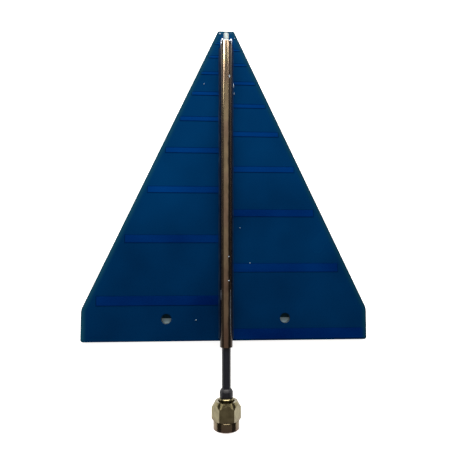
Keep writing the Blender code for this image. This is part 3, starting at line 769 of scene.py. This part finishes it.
def make_thread():
    """One ridge of the internal thread, wound forward by its pitch at each turn."""
    crest = 2.9 * MM
    buried = 0.05 * MM
    root = THREAD_MAJOR / 2 + buried
    middle = (crest + root) / 2
    foot = 0.8 * PITCH
    crest_share = 0.16
    runout = 0.5 * MM
    lead_in = 0.6 * MM
    start = NUT_SHOULDER - runout
    turns = int((start - NUT_LOW.y - lead_in) / PITCH)
    bpy.ops.mesh.primitive_plane_add(size=1, location=(middle, 0, 0))
    thread = named("nut_thread")
    thread.scale = (root - crest, foot, 1)
    settle(thread)
    edit(thread)
    pick(thread, "verts", lambda v: v.co.x < middle)
    bpy.ops.transform.resize(value=(1, crest_share, 1), center_override=(crest, 0, 0))
    bpy.ops.mesh.select_all(action="SELECT")
    bpy.ops.mesh.delete(type="ONLY_FACE")
    done()
    modify(thread, "SCREW", axis="Y", angle=2 * math.pi, screw_offset=-PITCH, iterations=turns, steps=64,
           render_steps=64, use_merge_vertices=False)
    edit(thread)
    bpy.ops.mesh.fill_holes(sides=0)
    face_outwards()
    bpy.ops.transform.translate(value=(0, start, AXIS))
    done()
    smooth(thread, 30)
    finish_piece(thread, TURNED_GOLD, NUT_BODY, "gold")


def make_barrel():
    """The turned body that the nut spins on: collar, ring groove, flange, sleeve and tail."""
    bore = 0.9 * MM
    tail_r = 1.05 * MM
    barrel_r = 2.35 * MM
    collar_edge = 0.15 * MM
    groove_r = 2.12 * MM
    flange_r = 2.6 * MM
    sleeve_r = 2.29 * MM
    sleeve_bore = 2.07 * MM
    tail, front = PLUG_HIGH.y, PLUG_LOW.y
    rear = NUT_HIGH.y + 0.8 * MM
    flange_rear = NUT_HIGH.y - 3.3 * MM
    flange_front = flange_rear - 0.9 * MM
    seat = INSULATOR_HIGH.y + 0.05 * MM
    barrel = turned("plug_barrel", [
        (bore, tail), (tail_r, tail), (tail_r, rear), (barrel_r - collar_edge, rear),
        (barrel_r, rear - collar_edge), (barrel_r, GROOVE_START), (groove_r, GROOVE_START),
        (groove_r, GROOVE_END), (barrel_r, GROOVE_END), (barrel_r, flange_rear), (flange_r, flange_rear),
        (flange_r, flange_front), (sleeve_r, flange_front), (sleeve_r, front), (sleeve_bore, front),
        (sleeve_bore, seat), (bore, seat)])
    ease(barrel, 0.03 * MM, 2)
    smooth(barrel)
    finish_piece(barrel, TURNED_GOLD, BODY, "gold", "plug_body")


def make_insulator():
    """The white bush that holds the pin in the barrel's sleeve."""
    bore = 0.51 * MM
    low, high = INSULATOR_LOW.y, INSULATOR_HIGH.y
    outer = (INSULATOR_HIGH.x - INSULATOR_LOW.x) / 2
    insulator = turned("plug_dielectric", [(outer, high), (outer, low), (bore, low), (bore, high)], 64)
    ease(insulator, 0.05 * MM, 2)
    smooth(insulator)
    finish_piece(insulator, WHITE, BODY, "white", "plug_insulator")


def make_pin():
    """A round pin with a tapered point."""
    point = 0.2 * MM
    radius = 0.46 * MM
    taper = 0.5 * MM
    profile = [(point, PIN_LOW.y), (radius, PIN_LOW.y + taper), (radius, PIN_HIGH.y)]
    pin = turned("plug_pin", profile, 48, closed=False)
    ease(pin, 0.06 * MM, 3, 15)
    smooth(pin, 60)
    finish_piece(pin, TURNED_GOLD, BODY, "gold", "centre_pin")


def make_collar():
    """Solder that closes the tube's end round the cable: thin over the top, full at the sides."""
    inner = 1.08 * MM
    plug = 1.45 * MM
    inside = 1.8 * MM
    rim = TUBE_R - 0.05 * MM
    face = TUBE_HIGH.y + 0.02 * MM
    skirt = 0.15 * MM
    bulge = 0.65 * MM
    steps = 6
    turns = [math.pi / 2 * step / steps for step in range(steps + 1)]
    dome = [(rim - (rim - inner) * (1 - math.cos(turn)), face + skirt + bulge * math.sin(turn))
            for turn in turns]
    collar = turned("tip_solder_collar", [
        (inner, face - inside), (plug, face - inside), (plug, face), (rim, face)] + dome, 64)
    crown = AXIS + 0.6 * MM
    thinned = 0.25
    edit(collar)
    pick(collar, "verts", lambda v: v.co.z > crown and v.co.y > face + NEAR)
    bpy.ops.transform.resize(value=(1, thinned, 1), center_override=(0, face, AXIS))
    done()
    smooth(collar, 60)
    finish_piece(collar, BRIGHT_SOLDER, BODY, "solder", "tip_shield_solder")


def blob(name, centre, size, turn=0.0, detail=3):
    """A drop of solder: a ball flattened, turned about the boom and roughened a little."""
    bpy.ops.mesh.primitive_ico_sphere_add(subdivisions=detail, radius=1, location=(0, 0, 0))
    drop = named(name)
    edit(drop)
    bpy.ops.transform.resize(value=size)
    bpy.ops.transform.rotate(value=-turn, orient_axis="Y", center_override=(0, 0, 0))
    bpy.ops.transform.translate(value=centre)
    done()
    lumps = bpy.data.textures.new(name + "_lumps", "CLOUDS")
    lumps.noise_scale = max(size) * 0.9
    modify(drop, "DISPLACE", texture=lumps, strength=min(size) * 0.5, mid_level=0.5,
           texture_coords="GLOBAL")
    smooth(drop, 180)
    return drop


def on_tube(name, lean, y, wide, long, high):
    """A drop that lies on the tube, leaning from its top by some degrees, in millimetres."""
    turn = math.radians(lean)
    spot = (TUBE_R * math.sin(turn), y * MM, AXIS + TUBE_R * math.cos(turn))
    return blob(name, spot, (wide * MM, long * MM, high * MM), turn)


def at_tip(x, y, z, wide, long, high):
    """A bead beside the tube's end, in millimetres from the middle of that end."""
    return blob("bead", (x * MM, TUBE_HIGH.y + y * MM, AXIS + z * MM), (wide * MM, long * MM, high * MM))


def join(name, pieces):
    choose(*pieces)
    bpy.ops.object.join()
    return named(name)


def make_solder_drops():
    """Beads that flank the tube's end, and the small splashes that the iron left on the board."""
    beads = [at_tip(-1.3, 0.1, 1.45, 0.36, 0.65, 0.45), at_tip(-1.62, -0.85, 1.15, 0.26, 0.36, 0.4),
             at_tip(1.5, -0.1, 1.35, 0.34, 0.95, 0.45)]
    finish_piece(join("tip_solder_beads", beads), BRIGHT_SOLDER, BODY, "solder")
    # Place, half width and half length of each splash on the board, in millimetres
    splashes = ((-2.01, 63.65, 0.32, 0.2), (2.85, 62.2, 0.16, 0.14), (-7.3, 46.35, 0.16, 0.16),
                (-9.65, -31.13, 0.2, 0.2), (4.56, -1.5, 0.14, 0.14), (7.8, -12.92, 0.18, 0.18),
                (2.45, 45.9, 0.2, 0.8), (2.75, 43.2, 0.15, 0.4))
    top = BOARD_TOP + 0.055 * MM
    height = 0.12
    drops = [blob("drop", (x * MM, y * MM, top), (wide * MM, long * MM, height * MM), detail=2)
             for x, y, wide, long in splashes]
    beads = [on_tube("bead", lean, y, 0.17, long, height)
             for lean, y, long in ((22, -10.9, 0.19), (23, -18.4, 0.19), (29, 47.4, 0.45))]
    finish_piece(join("solder_splashes", drops + beads), SPLASHED_SOLDER, BODY, "solder")
    smears = [on_tube("smear", 40, -28.6, 0.24, 7.2, 0.06), on_tube("smear", -58, -23.0, 0.32, 1.7, 0.07)]
    finish_piece(join("solder_smears_on_tube", smears), SMEARED_SOLDER, BODY, "solder")


def dress_kept_nodes():
    """The nodes whose shape is right keep it, under a new surface."""
    for node, material in (("tube_solder_seam", SEAM_SOLDER_IN_PAINTED_SHADE), ("back_tip_solder", BRIGHT_SOLDER),
                           ("coax_braid", BRAID), ("coax_centre_wire", SILVER),
                           ("crimp_ferrule", TURNED_GOLD), ("retaining_ring", BRONZE)):
        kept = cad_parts[node]
        kept.data.materials.clear()
        kept.data.materials.append(material)


def make_floor():
    bpy.ops.mesh.primitive_plane_add(size=2.4, location=(0, 0, -0.02 * MM))
    floor = named("floor")
    floor.data.materials.append(sheet("white_paper", "F0F0F0", "F6F6F6", 0.85))
    settle(floor)


def make_cards():
    """What the holes show: a dark card painted as the board's own shadow on the paper, and over it a pale
    strip, lit by the key through the holes, whose edge paints where that lit patch ends.
    """
    holes_y = WIDE_END + HOLE_HEIGHT
    width = 70 * MM
    cards = (("shaded_card", 6 * MM, 12 * MM, 0.07 * MM, "1A3646", "20404E"),
             ("lit_card", 0.0, 5 * MM, 0.05 * MM, "A8C4D0", "B4D0DC"))
    for name, past, length, below, dark, light in cards:
        spot = (0, holes_y + past - length / 2, BACK_FOIL_FACE - below)
        bpy.ops.mesh.primitive_plane_add(size=1, location=spot)
        card = named(name)
        card.scale = (width, length, 1)
        settle(card)
        card.data.materials.append(sheet(name, dark, light, 0.0))


def softbox(name, tilt, distance, size, power, tint):
    """A softbox that faces the middle of the part, tilted some degrees from straight above to the tip."""
    data = bpy.data.lights.new(name, "AREA")
    data.shape = "RECTANGLE"
    data.size, data.size_y = size
    data.energy = power
    data.color = srgb(tint)[:3]
    light = bpy.data.objects.new(name, data)
    lean = math.radians(tilt)
    spot = Vector((0, math.sin(lean), math.cos(lean))) * distance
    light.location = spot
    light.rotation_euler = spot.to_track_quat("Z", "Y").to_euler()
    light.visible_camera = False
    bpy.context.scene.collection.objects.link(light)


def make_light():
    softbox("key_over_the_tip", 66, 0.6, (0.9, 0.3), 8.8, "FFFAF2")
    softbox("pale_wall_over_the_tip", 50, 1.5, (3.4, 0.2), 5.0, "FFFAF2")
    softbox("dim_ceiling", 0, 0.7, (1.5, 1.1), 1.5, "FFF2E8")


def make_backdrop():
    """A pale backdrop to look at, which lights the part only faintly."""
    faint = 0.08
    world = bpy.data.worlds.new("dim_room")
    world.use_nodes = True
    tree = world.node_tree
    seen = add(tree, "ShaderNodeLightPath", {}, "Is Camera Ray")
    strength = add(tree, MATH, {0: seen, 1: 1 - faint, 2: faint}, operation="MULTIPLY_ADD")
    connect(tree, tree.nodes["Background"], {"Color": srgb("FAF9F8"), "Strength": strength})
    bpy.context.scene.world = world


def make_camera():
    """The photograph was taken from close above, a little off the middle, so the view opens wide."""
    data = bpy.data.cameras.new("camera")
    data.sensor_width = 36
    data.lens = 32.22
    data.clip_start = 1 * MM
    camera = bpy.data.objects.new("camera", data)
    spot = (-4.746 * MM, -11.623 * MM, 138.774 * MM)
    turns = (("Z", 0.0015), ("X", -0.0571), ("Y", 0.0560))
    roll, pitch, yaw = (Matrix.Rotation(angle, 3, axis) for axis, angle in turns)
    turn = roll @ pitch @ yaw
    camera.matrix_world = Matrix.Translation(spot) @ turn.transposed().to_4x4()
    bpy.context.scene.collection.objects.link(camera)
    bpy.context.scene.camera = camera


make_camera()
make_light()
make_backdrop()
make_floor()
make_cards()
make_board()
make_relief("front_strips", 1, BOARD_TOP, FRONT_FOIL_TOP - BOARD_TOP, "front_element_foil")
make_relief("back_strips", -1, BOARD_BOTTOM, BACK_FOIL_FACE - BOARD_BOTTOM, "back_element_foil")
make_tube()
make_jacket()
make_boot()
make_dielectric()
make_nut()
make_thread()
make_barrel()
make_insulator()
make_pin()
make_collar()
make_solder_drops()
dress_kept_nodes()

bpy.context.scene.view_settings.view_transform = "Standard"
